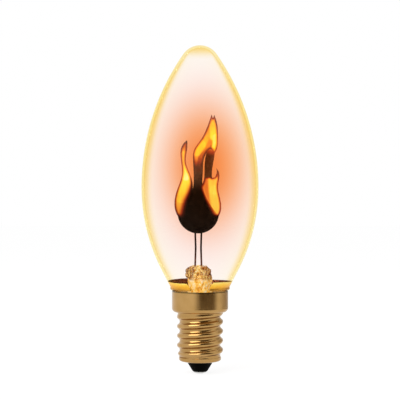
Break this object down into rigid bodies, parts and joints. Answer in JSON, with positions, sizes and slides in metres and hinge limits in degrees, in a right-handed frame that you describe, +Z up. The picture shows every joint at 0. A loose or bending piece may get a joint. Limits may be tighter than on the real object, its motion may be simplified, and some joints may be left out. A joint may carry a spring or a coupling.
{
  "type": "flicker flame candle bulb",
  "caption": "Candle-shaped clear glass bulb with flame-shaped neon electrodes on wires, a pressed glass stem and a small brass screw cap.",
  "frame": {"origin": "middle of the centre contact's flat face, on the axis of the cap", "axes": "+Z up the axis of the lamp towards the tip of the glass; the flame is seen flat from -Y, +X to its right"},
  "size_m": [0.035, 0.035, 0.098],
  "materials": {
    "clear_glass": "clear, faint amber",
    "stem_glass": "clear, amber where thick",
    "brass": "bright drawn brass",
    "black_glass": "black, glossy",
    "solder": "satin solder",
    "front_flame": "blackened below, glowing yellow and orange on the tongues",
    "rear_flame": "blackened, glowing yellow on one side",
    "dark_wire": "oxidised",
    "copper": "copper",
    "resistor_ceramic": "lacquered",
    "tinned_steel": "tinned",
    "cement": "matt"
  },
  "bodies": {
    "root": {"glass_envelope": "clear_glass", "glass_stem": "stem_glass", "exhaust_tube": "stem_glass", "screw_shell": "brass", "contact_eyelet": "brass", "base_insulator": "black_glass", "contact_solder": "solder", "rim_solder": "solder", "front_flame_plate": "front_flame", "rear_flame_plate": "rear_flame", "front_support_wire": "dark_wire", "rear_support_wire": "dark_wire", "front_seal_wire": "copper", "rear_seal_wire": "copper", "shell_lead": "copper", "resistor_feed_lead": "copper", "resistor_body": "resistor_ceramic", "resistor_end_caps": "tinned_steel", "resistor_upper_lead": "tinned_steel", "resistor_lower_lead": "tinned_steel", "lead_ferrule": "tinned_steel", "basing_cement": "cement"}
  },
  "joints": []
}
